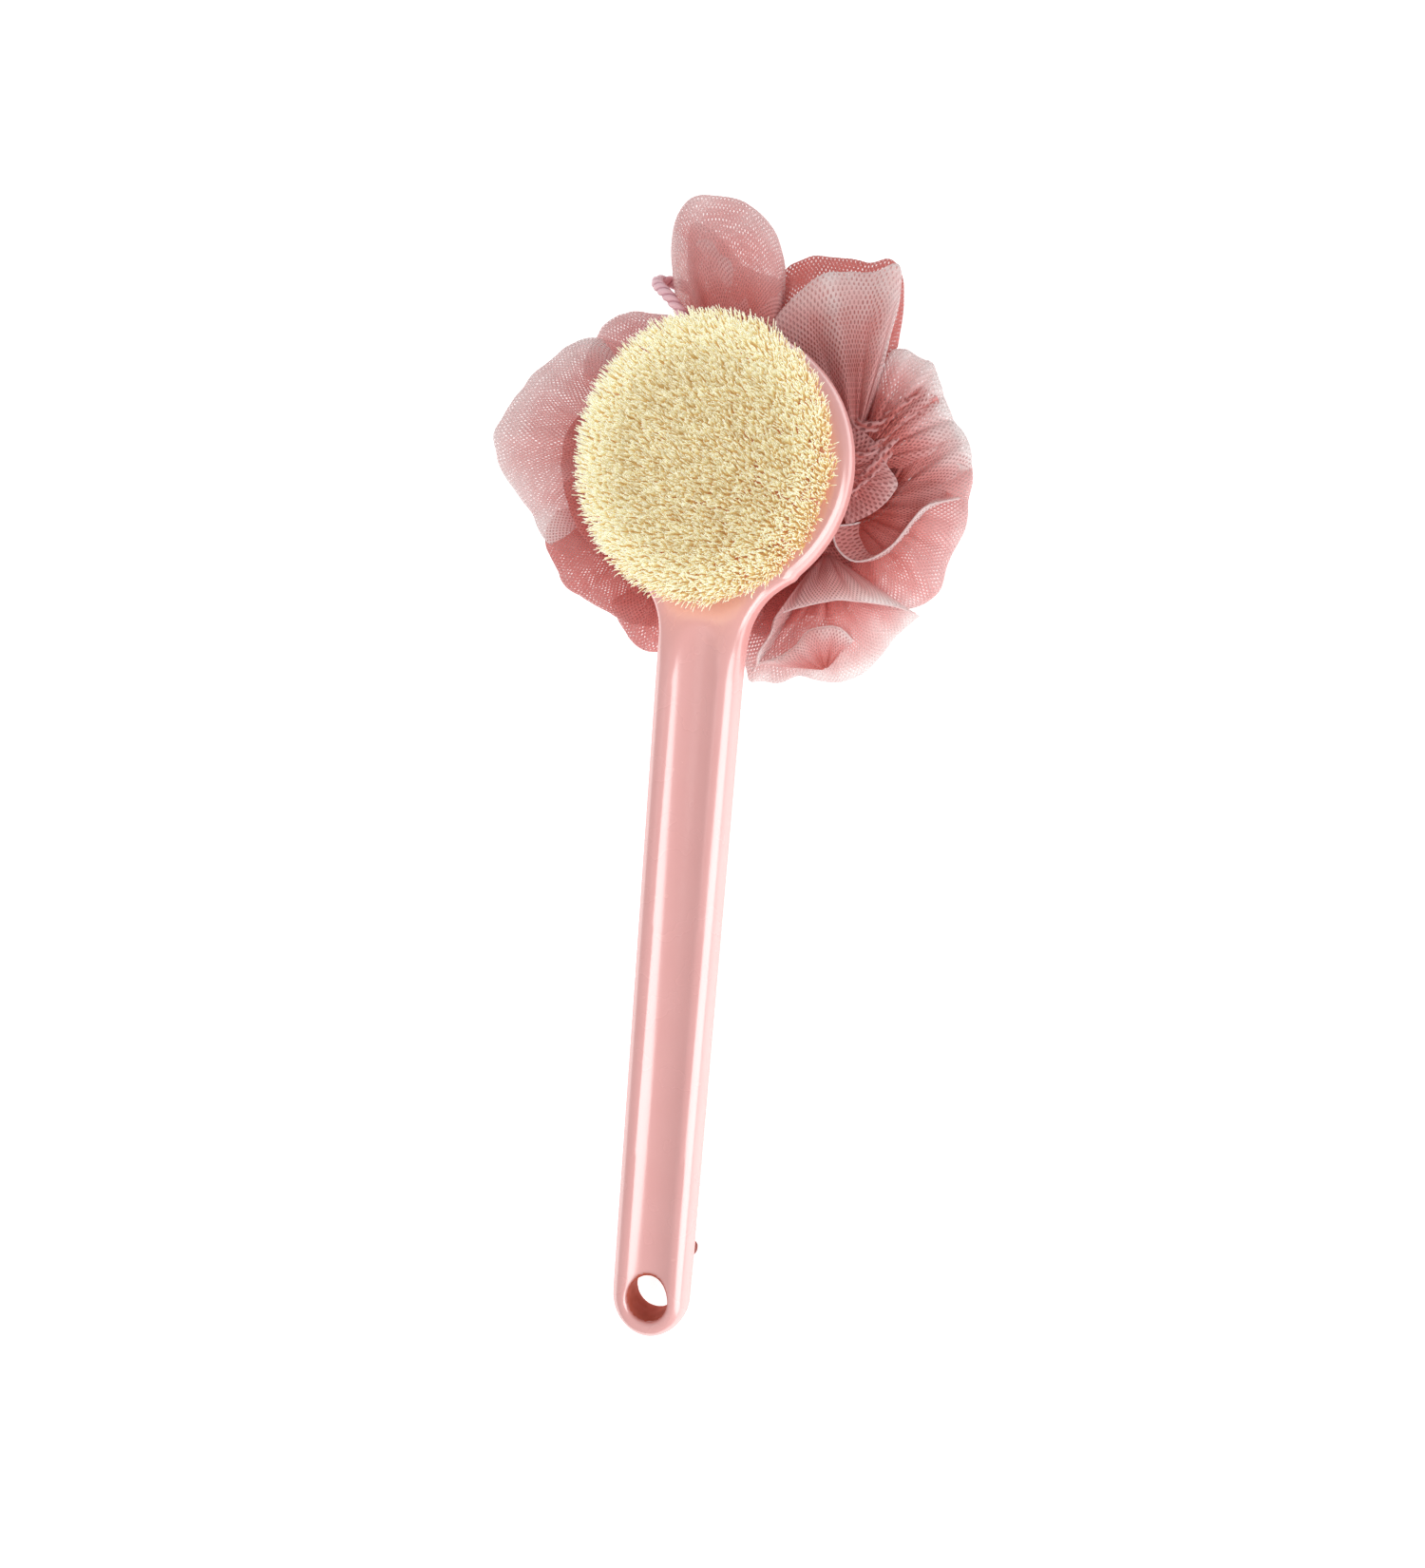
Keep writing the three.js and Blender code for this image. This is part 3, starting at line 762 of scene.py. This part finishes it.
def net_material():
    """Fine pink netting: threads round rows of small lozenge holes, see-through and soft. Its colour
    carries painted shade and light: deep red where it lies in shade, pale at its lit rims.
    """
    material, tree, shader, add = new_material("pink_netting")
    wave = net_weave(add)
    hole = add("ShaderNodeMapRange", Value=wave, From_Min=0.12, From_Max=0.5)
    hole.inputs["To Min"].default_value = 0.95
    hole.inputs["To Max"].default_value = 0.25
    rim = add("ShaderNodeAttribute", set_attribute_name="rim").outputs["Fac"]
    hem = maths(add, "GREATER_THAN", rim, 1.05)
    cover = maths(add, "MAXIMUM", hole.outputs[0], hem)
    # painted shade and light: deep red for netting in shade, near white for its lit, see-through rims
    colour = ramp(
        add,
        maths(add, "MULTIPLY", rim, 0.9),
        (0.0, (0.58, 0.085, 0.06)),
        (0.34, (0.74, 0.25, 0.23)),
        (0.6, (0.82, 0.42, 0.41)),
        (0.8, (0.90, 0.69, 0.68)),
        (0.9, (0.95, 0.89, 0.88)),
        (0.96, (0.93, 0.74, 0.73)),
    )
    thread = add("ShaderNodeBump", Height=wave, Strength=0.35, Distance=0.0003)
    thread.invert = True
    tree.links.new(colour, shader.inputs["Base Color"])
    tree.links.new(thread.outputs[0], shader.inputs["Normal"])
    shader.inputs["Roughness"].default_value = 0.5
    shader.inputs["Sheen Weight"].default_value = 0.3
    shader.inputs["Sheen Roughness"].default_value = 0.4
    shader.inputs["Sheen Tint"].default_value = (1, 0.85, 0.84, 1)
    translucent = add("ShaderNodeBsdfTranslucent")
    tree.links.new(colour, translucent.inputs["Color"])
    cloth = add("ShaderNodeMixShader", Fac=0.3)
    tree.links.new(shader.outputs[0], cloth.inputs[1])
    tree.links.new(translucent.outputs[0], cloth.inputs[2])
    see = add("ShaderNodeBsdfTransparent")
    net = add("ShaderNodeMixShader")
    tree.links.new(cover, net.inputs[0])
    tree.links.new(see.outputs[0], net.inputs[1])
    tree.links.new(cloth.outputs[0], net.inputs[2])
    tree.links.new(net.outputs[0], tree.nodes["Material Output"].inputs["Surface"])
    return material


# A petal is a pocket of netting gathered at its base: its rim's points in order, then the base.
# puff is (front, back): how far its two layers swell from the middle, and below 0 it is a hollow.
# pleats is how many folds leave the base, and hem says that a pale fold edges the rim.
# cell is how far its mesh is stretched open, its shade tone below 1 gives its rim painted shade,
# deeper in colour, and root above 0 makes its base paler, with less of the painted shade.
PETALS = {
    "top": dict(
        rim=((-12, 50, -10), (-16, 53, -7), (-20, 57, -6), (-22, 62.5, -7), (-24, 70, -9),
             (-25.5, 78, -12), (-26, 85.5, -16), (-24.5, 91.5, -20), (-21, 94.7, -23),
             (-16, 95.6, -25), (-10, 95, -26), (-4.4, 92.4, -26), (1.4, 87.7, -26), (6, 82, -26),
             (9, 76, -26), (10.5, 70, -26), (11, 60, -26), (12, 50, -25)),
        base=(-3, 14, -14), puff=(6, 13), pleats=4, fold=0.25, shade_tone=0.82,
    ),
    "top_inner": dict(
        rim=((-20, 44, -21), (-21, 60, -21), (-22, 74, -21), (-22, 85, -22), (-15, 82, -22),
             (-8, 76, -22), (-3, 71.5, -22), (3, 69, -22), (10, 66, -22), (12, 54, -22)),
        base=(-3, 14, -14), puff=(6, 5), pleats=3, fold=0.15, shade_tone=0.84,
    ),
    "fan_back": dict(
        rim=((4, 52, -29), (6, 62, -28), (11, 71, -28), (20, 75, -28), (29, 75, -28), (40, 74, -28),
             (47, 75, -28), (51, 70, -28), (52, 60, -28), (51, 46, -29)),
        base=(30, 12, -18), puff=(2.5, 5), pleats=7, shade_tone=0.3,
    ),
    "fan_front": dict(
        rim=((6, 42, -19), (10, 52, -19), (15, 58, -19), (20, 63, -19), (26, 67, -19),
             (34, 69, -19), (42, 69, -20), (50, 70, -21), (51.5, 60, -21), (50, 50, -21),
             (48.5, 40, -21), (46, 27, -21)),
        base=(42, 10, -16), puff=(3.5, 3), pleats=5, cell=1.25, root=0.42, shade_tone=0.94,
    ),
    "gather": dict(
        rim=((46, 26, -23), (47, 36, -24), (50, 44, -25), (54, 44.5, -26), (59, 43, -27), (64, 41, -27),
             (67, 34, -27), (71, 25, -27), (76, 15, -27), (74, 6, -27)),
        base=(43, 4, -17), puff=(5, 7), pleats=9, fold=1.3, cell=1.2,
    ),
    "patch": dict(
        rim=((40, 18, -15), (47, 12, -15), (52, 5, -15), (57, -1, -16), (53, -8, -16), (41, -15, -16)),
        base=(36, 2, -13), puff=(1.5, 2), pleats=6, cell=1.35, root=0.2,
    ),
    "right_up": dict(
        rim=((55, 8, -24), (58, 15, -25), (62, 20, -26), (67, 22, -27), (73, 20, -27), (78, 13, -27),
             (80, 4, -27), (79, -3, -26)),
        base=(52, -6, -22), puff=(3, 6), pleats=4,
    ),
    "right": dict(
        rim=((68, 12, -30), (77, 11, -29), (79.5, 4, -28), (79, -4, -28), (80, -12, -28),
             (78, -19, -28), (75, -26, -28), (72, -34, -28), (67, -39, -28), (58, -42, -28),
             (46, -42, -28)),
        base=(38, -10, -20), puff=(6, 9), pleats=5, shade_tone=0.8,
    ),
    "spoon": dict(
        rim=((77, -4, -20), (68, -7, -18), (63, -12, -16), (57, -21, -15), (50, -26, -15),
             (44, -27, -15), (39.5, -23, -15), (38.5, -17, -15), (44, -15, -18), (51, -10, -20),
             (57, -3, -21), (62, 4, -22), (71, 8, -23), (79, 6, -24)),
        base=(68, 0, -25), puff=(-6, 3), pleats=3, hem=True,
    ),
    "band": dict(
        rim=((10, -69, -22), (13, -66, -19), (14.5, -60, -16), (18, -54, -15), (20, -47, -15),
             (28, -43, -15), (39, -40, -15), (49, -40, -15), (60, -41, -16), (67, -43, -19)),
        base=(34, -24, -25), puff=(3, 5), pleats=6, hem=True, root=0.5,
    ),
    "bottom": dict(
        rim=((-4, -44, -26), (2, -56, -26), (8, -65, -27), (10, -70, -27), (14, -69.5, -28),
             (20, -70, -28), (27, -67, -28), (33, -67.5, -28), (41, -67.5, -28), (49, -64, -28),
             (55, -57, -28), (60, -50, -28), (67, -43, -28)),
        base=(34, -30, -27), puff=(4, 7), pleats=5,
    ),
    "rosette": dict(
        rim=((13, -64, -22), (17, -62.5, -19), (22, -60.5, -18), (27, -56, -18), (30, -51, -18),
             (35, -49, -19), (41, -49, -21), (46, -53, -24)),
        base=(37, -64, -25), puff=(2.5, 3), pleats=4, hem=True,
    ),
    "left": dict(
        rim=((-44, 44, -28), (-56, 46, -27), (-66, 43, -26), (-74, 37, -26), (-81, 29, -26),
             (-87, 19, -26), (-90, 9, -26), (-89, 0, -26), (-83, -9, -26), (-76, -17, -27),
             (-70, -26, -28), (-60, -32, -29)),
        base=(-16, 4, -14), puff=(8, 12), pleats=5, shade_tone=0.95,
    ),
    "left_inner": dict(
        rim=((-44, 32, -16), (-53, 20, -15), (-60, 11, -15), (-62, 2, -15), (-60, -6, -15),
             (-57, -14, -15), (-53, -22, -15), (-45, -31, -16), (-30, -44, -18)),
        base=(-12, -4, -12), puff=(2.5, 4), pleats=6, shade_tone=0.38,
    ),
    "left_low": dict(
        rim=((-68, -14, -30), (-72, -24, -30), (-67, -34, -29), (-62, -41, -29), (-54, -45, -29),
             (-45, -49, -29), (-36, -53, -29), (-26, -54, -30)),
        base=(-10, -10, -17), puff=(6, 9), pleats=6, shade_tone=0.42,
    ),
    "left_tail": dict(
        rim=((-46, -46, -33), (-40, -54, -32), (-33, -61, -32), (-26, -62, -32), (-18, -58, -32)),
        base=(-10, -22, -24), puff=(4, 6), pleats=5, shade_tone=0.55,
    ),
    "left_top": dict(
        rim=((-62, 34, -32), (-61, 44, -31), (-54, 51, -30), (-46, 55, -30), (-38, 56, -30),
             (-28, 54, -30), (-22, 46, -31)),
        base=(-12, 10, -17), puff=(5, 8), pleats=5, shade_tone=0.8,
    ),
}  # fmt: skip

# Ropes of bunched netting beside the head: their points, then how thick they are.
ROPES = (
    (((38, 21, -17), (43, 17, -16), (49, 18, -17), (56, 24, -19), (62, 31, -23)), 2.4),
    (((42, -5, -15), (48, 3, -16), (53, 13, -18), (59, 22, -20), (66, 28, -24)), 2.9),
    (((40, 8, -14), (46, 8, -15), (52, 14, -18), (58, 16, -21)), 2.2),
)  # fmt: skip
ROPE_SIDES = 28
ROPE_VALUE = 0.7


def soft_floor(points):
    """Keeps points above the floor and under the head, bending smoothly into both."""
    floor = floor_z(points[..., 1]) + 0.5
    over = points[..., 2] - floor
    lifted = floor + 0.5 * (over + np.sqrt(over**2 + 9))
    beyond = smooth_step((np.hypot(points[..., 0], points[..., 1]) - 47) / 6)
    ceiling = POUF_TOP_Z + 8 * beyond * smooth_step((points[..., 1] - 15) / 20)
    under = ceiling - lifted
    points[..., 2] = ceiling - 0.5 * (under + np.sqrt(under**2 + 2))
    return points


def fractal(points, scale, seed):
    """Smooth noise about 0 at each point; scale is the size of its features in mm."""
    flat = points.reshape(-1, 3) / scale
    shift = Vector((seed * 3.7, seed * 1.3, seed * 7.1))
    values = [noise.noise(Vector(p) + shift) for p in flat]
    return np.array(values).reshape(points.shape[:-1])


# Each pleat is a sum of waves: how many for each fold that leaves the base, and their shares.
PLEAT_WAVES = ((1.0, 0.55), (1.7, 0.3), (2.9, 0.15))

# Uneven swelling of the netting: the size of its features and how far it moves them, in mm.
BROAD_BILLOW = (22, 4.5)
FINE_BILLOW = (9, 1.8)
RIM_DRIFT = (20, 1.6)
CREASE_SIZE = 7


def pleat_waves(s, t, pleats, seed):
    """How high the pleats stand and how far they lean at s along the rim and t out to it."""
    ridges = np.zeros(np.broadcast_shapes(s.shape, t.shape))
    lean = np.zeros_like(ridges)
    rng = random.Random(seed)
    for often, share in PLEAT_WAVES:
        phase = rng.uniform(0, 2 * math.pi)
        bend = rng.uniform(-2.5, 2.5)
        wave = 2 * math.pi * pleats * often * s + phase + bend * t + 1.6 * np.sin(4 * s + phase)
        ridges = ridges + share * np.cos(wave)
        lean = lean + share * np.sin(wave)
    return ridges, lean


def net_uv(points, width, cell):
    """UVs in mm of netting, stretched by cell, over a grid that is as wide as its rim."""
    steps = np.linalg.norm(np.diff(points, axis=0), axis=2).mean(1)
    v = np.concatenate(([0], np.cumsum(steps)))
    u = np.linspace(0, width, points.shape[1])
    return np.stack(np.broadcast_arrays(u[None], v[:, None]), -1) / cell


def net_light_and_shade(points, ridges, t, shade_tone, root, seed):
    """Painted shade and light: 0 where the netting is shaded deep red to 1 where it is lit palest, the
    petal's rim and its ridges.
    """
    # painted shade deep at the gathered base and close to the head, painted light pale towards the rim
    away = smooth_step((np.hypot(points[..., 0], points[..., 1]) - 44) / 24)
    value = root + (shade_tone - root) * t * (0.5 + 0.5 * away)
    # painted shade in the pleats' hollows and painted light on their crests, with random tone
    fold_shade_and_tone = 0.09 * ridges + 0.2 * fractal(points, CREASE_SIZE, seed + 3)
    return np.clip(value + fold_shade_and_tone * (1 - 0.6 * t), 0, 1)


def petal(
    rim, base, puff, pleats, seed, fold=0.6, hem=False, cell=1.0, shade_tone=1.0, root=0.0,
    ruffle=0.0, across=68, deep=20,
):  # fmt: skip
    """Grids of points, UVs and rim values, which are painted light and shade: the pocket from front
    base to back base, and its hem.

    fold is how deep the pleats are and ruffle how far the rim swings, in mm. The pocket has
    across points along its rim and deep points from base to rim on each side.
    """
    edge, width = curve_points(rim, across)
    base = np.asarray(base, float)
    start = base + (edge - base) * 0.05
    out = edge - base
    reach = np.linalg.norm(out, axis=1).mean()
    normal = np.cross(edge[-1] - base, edge[0] - base)
    normal /= np.linalg.norm(normal)
    if normal[2] < 0:
        normal = -normal
    s = np.linspace(0, 1, across)[None, :, None]
    angle = np.linspace(0, math.pi, 2 * deep + 1)[:, None, None]
    t = np.sin(angle) ** 1.15
    side = np.cos(angle)
    swell = np.where(side > 0, puff[0], puff[1]) * side * np.sin(angle) ** 0.7 * 2.0
    closing = np.sin(math.pi * s) ** 0.55
    middle = start[None] + (edge - start)[None] * t
    ridges, lean = pleat_waves(s, t, pleats, seed)
    depth = fold * 0.42 * width * (t + 0.08) / pleats * (1 - 0.85 * smooth_step(t * 1.1))
    along = np.gradient(edge, axis=0)
    along /= np.linalg.norm(along, axis=1)[:, None]
    points = middle + normal * (swell * closing + ridges * depth * closing)
    points = points + along[None] * lean * depth * 0.5 * closing
    billow = fractal(points, BROAD_BILLOW[0], seed) * BROAD_BILLOW[1]
    billow = billow + fractal(points, FINE_BILLOW[0], seed + 9) * FINE_BILLOW[1]
    points = points + normal * billow[..., None] * closing * (0.25 + 0.75 * t) * (1 - 0.5 * t**6)
    swing = 2 * math.pi * 2.6 * s + seed + 1.2 * np.sin(5 * s + seed)
    points = points + normal * ruffle * np.sin(swing) * t**2 * closing
    drift = fractal(points, RIM_DRIFT[0], seed + 5)[..., None]
    points = points + out[None] / reach * drift * RIM_DRIFT[1] * t**3
    points = soft_floor(points)
    value = net_light_and_shade(points, ridges[..., 0], t[..., 0], shade_tone, root, seed)
    grids = [(points, net_uv(points, width, cell), value)]
    if hem:
        grids.append(bead(points[deep], HEM_R, HEM_VALUE))
    return grids


def bead(path, radius, value, sides=6):
    """A tube along the path, as a grid of points, UVs and rim values."""
    radius = np.asarray(radius, float).reshape(-1, 1, 1)
    tangent = np.gradient(path, axis=0)
    tangent /= np.linalg.norm(tangent, axis=1)[:, None]
    across = np.cross(tangent, (0, 0, 1.0))
    across /= np.linalg.norm(across, axis=1)[:, None]
    up = np.cross(across, tangent)
    turn = np.linspace(0, 2 * math.pi, sides + 1)[None, :, None]
    points = path[:, None] + radius * (np.cos(turn) * across[:, None] + np.sin(turn) * up[:, None])
    steps = np.linalg.norm(np.diff(path, axis=0), axis=1)
    v = np.concatenate(([0], np.cumsum(steps)))
    u = np.linspace(0, 2 * math.pi * radius.mean(), sides + 1)
    uv = np.stack(np.broadcast_arrays(u[None], v[:, None]), -1)
    return points, uv, np.full(points.shape[:2], float(value))


def rope(control, thickness, seed):
    """A bunch of netting drawn into a rope, with folds that wind along it."""
    path, _ = curve_points(control, 60)
    along = np.linspace(0, 1, len(path))
    radius = thickness * (0.75 + 0.25 * np.sin(math.pi * along))
    points, uv, value = bead(path, radius, ROPE_VALUE, ROPE_SIDES)
    turn = np.linspace(0, 2 * math.pi, ROPE_SIDES + 1)[None]
    groove = np.abs(np.sin(2.5 * turn + 9 * along[:, None] + seed))
    points = path[:, None] + (points - path[:, None]) * (0.72 + 0.38 * groove)[..., None]
    # painted shade: the rim value drops in the grooves between the rope's folds
    return soft_floor(points), uv / 1.7, value - 0.6 * (1 - groove)


def join_grids(name, grids, material):
    """One piece from grids of (points, uv, rim value)."""
    points, uvs, values, faces = [], [], [], []
    start = 0
    for grid, uv, value in grids:
        rows, cols = grid.shape[:2]
        i, j = np.meshgrid(np.arange(rows - 1), np.arange(cols - 1), indexing="ij")
        a = start + i * cols + j
        faces.append(np.stack((a, a + cols, a + cols + 1, a + 1), -1).reshape(-1, 4))
        points.append(grid.reshape(-1, 3))
        uvs.append(uv.reshape(-1, 2))
        values.append(value.ravel())
        start += rows * cols
    faces = np.concatenate(faces)
    obj = mesh_piece(name, np.concatenate(points), faces, material)
    point_values(obj, "rim", np.concatenate(values))
    layer = obj.data.uv_layers.new(name="net")
    corner = np.zeros(len(obj.data.loops), np.int32)
    obj.data.loops.foreach_get("vertex_index", corner)
    layer.data.foreach_set("uv", np.concatenate(uvs)[corner].astype(np.float32).ravel())
    return obj


# How far the pouf reaches from its middle, every 30 degrees from +X round towards +Y.
FILL_REACH = (70, 56, 66, 72, 50, 62, 74, 62, 50, 56, 56, 62)

# Rings of plainer petals: how many, their height, their share of the reach, and their size.
# The first ring lies between the head and the shaped petals and the others behind those.
FILL_RINGS = (
    (8, -10, 0.6, 26),
    (12, -35, 0.95, 33),
    (11, -43, 0.9, 34),
    (9, -51, 0.78, 36),
    (6, -55, 0.46, 40),
)
FILL_BASE_R = 9
FILL_PLEATS = 6


def round_rim(rng, turn, far, height, width):
    """The rim of a rounded petal that points the way of turn, in degrees, as far out as far."""
    c, s = math.cos(math.radians(turn)), math.sin(math.radians(turn))
    rim = []
    for step in range(9):
        a = math.radians(-100 + step * 25)
        x = far - width * 0.62 * (1 - math.cos(a))
        y = width * 0.62 * math.sin(a)
        z = height + rng.uniform(-2.5, 2.5)
        rim.append((c * x - s * y, s * x + c * y, z))
    return rim


def filler_petals():
    """Ruffled petals between the head and the shaped ones, and behind those down to the floor."""
    grids = []
    rng = random.Random(11)
    for ring, (count, height, share, width) in enumerate(FILL_RINGS):
        puff, ruffle = ((5, 7), 4.5) if ring else ((1, 2), 1)
        for k in range(count):
            turn = (k + 0.5 * ring) / count * 360 + rng.uniform(-6, 6)
            far = np.interp(turn % 360, range(0, 390, 30), FILL_REACH + FILL_REACH[:1]) * share
            rim = round_rim(rng, turn, far, height, width)
            a = math.radians(turn)
            base = (FILL_BASE_R * math.cos(a), FILL_BASE_R * math.sin(a), -13 - 5 * ring)
            seed = 40 + ring * 20 + k
            grids += petal(rim, base, puff, FILL_PLEATS, seed, ruffle=ruffle, across=40, deep=12)
    return grids


def pouf(material):
    """All the netting as one piece: the shaped petals, the ropes and the filler."""
    grids = []
    for seed, form in enumerate(PETALS.values()):
        grids += petal(seed=seed, **form)
    grids += [rope(points, size, i) for i, (points, size) in enumerate(ROPES)]
    obj = join_grids("netting_petals", grids + filler_petals(), material)
    settle(obj, "pouf", "netting", "netting")


# ---- staples ----


def steel():
    """The staples stay the CAD's solids, in bright steel."""
    material, tree, shader, add = new_material("staple_steel")
    grain = object_noise(add, 3000, 3)
    shader.inputs["Base Color"].default_value = (0.62, 0.60, 0.57, 1)
    shader.inputs["Metallic"].default_value = 1.0
    rough = add("ShaderNodeMapRange", Value=grain, To_Min=0.25, To_Max=0.45)
    tree.links.new(rough.outputs[0], shader.inputs["Roughness"])
    for name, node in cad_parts.items():
        if name.startswith("staple_"):
            node.data.materials.clear()
            node.data.materials.append(material)


# ---- floor and light ----


def floor():
    """A white floor that glows a little, for the photo's plain background."""
    material, _, shader, _ = new_material("floor")
    shader.inputs["Base Color"].default_value = (0.85, 0.85, 0.85, 1)
    shader.inputs["Roughness"].default_value = 0.9
    shader.inputs["Emission Color"].default_value = (1, 1, 1, 1)
    shader.inputs["Emission Strength"].default_value = 0.7
    mesh = bpy.data.meshes.new("floor")
    half = 3
    corners = [(-half, -half, 0), (half, -half, 0), (half, half, 0), (-half, half, 0)]
    mesh.from_pydata(corners, [], [(0, 1, 2, 3)])
    mesh.materials.append(material)
    obj = bpy.data.objects.new("floor", mesh)
    bpy.context.scene.collection.objects.link(obj)


def softbox(name, place, size, power, mirrored=True):
    """A rectangular area light at a place in the row frame that shines at the head.

    With mirrored off it lights the scrubber but isn't seen in its glossy surfaces.
    """
    data = bpy.data.lights.new(name, "AREA")
    data.shape = "RECTANGLE"
    data.size, data.size_y = size
    data.energy = power
    light = bpy.data.objects.new(name, data)
    bpy.context.scene.collection.objects.link(light)
    light.location = place
    light.visible_glossy = mirrored
    aim = BRUSH.translation - Vector(place)
    light.rotation_euler = aim.to_track_quat("-Z", "Y").to_euler()


def lights():
    """A dim white world, a wide key light from the right and a fill from above on the left."""
    world = bpy.data.worlds.new("world")
    world.use_nodes = True
    world.node_tree.nodes["Background"].inputs[0].default_value = (1, 1, 1, 1)
    world.node_tree.nodes["Background"].inputs[1].default_value = 0.40
    bpy.context.scene.world = world
    softbox("key", (0.78, -0.35, 0.46), (0.9, 0.75), 6.0)
    softbox("fill", (-0.45, -0.1, 0.9), (0.5, 0.5), 3.9, mirrored=False)
    bpy.context.scene.view_settings.view_transform = "Standard"


# ---- assembly ----

photo_camera()
mauve = cord_material()
hanging_loop(mauve)
binding(mauve)
brush_body(moulding_material(), painted_shade_material())
tufts(bristle_material())
pouf(net_material())
steel()
floor()
lights()
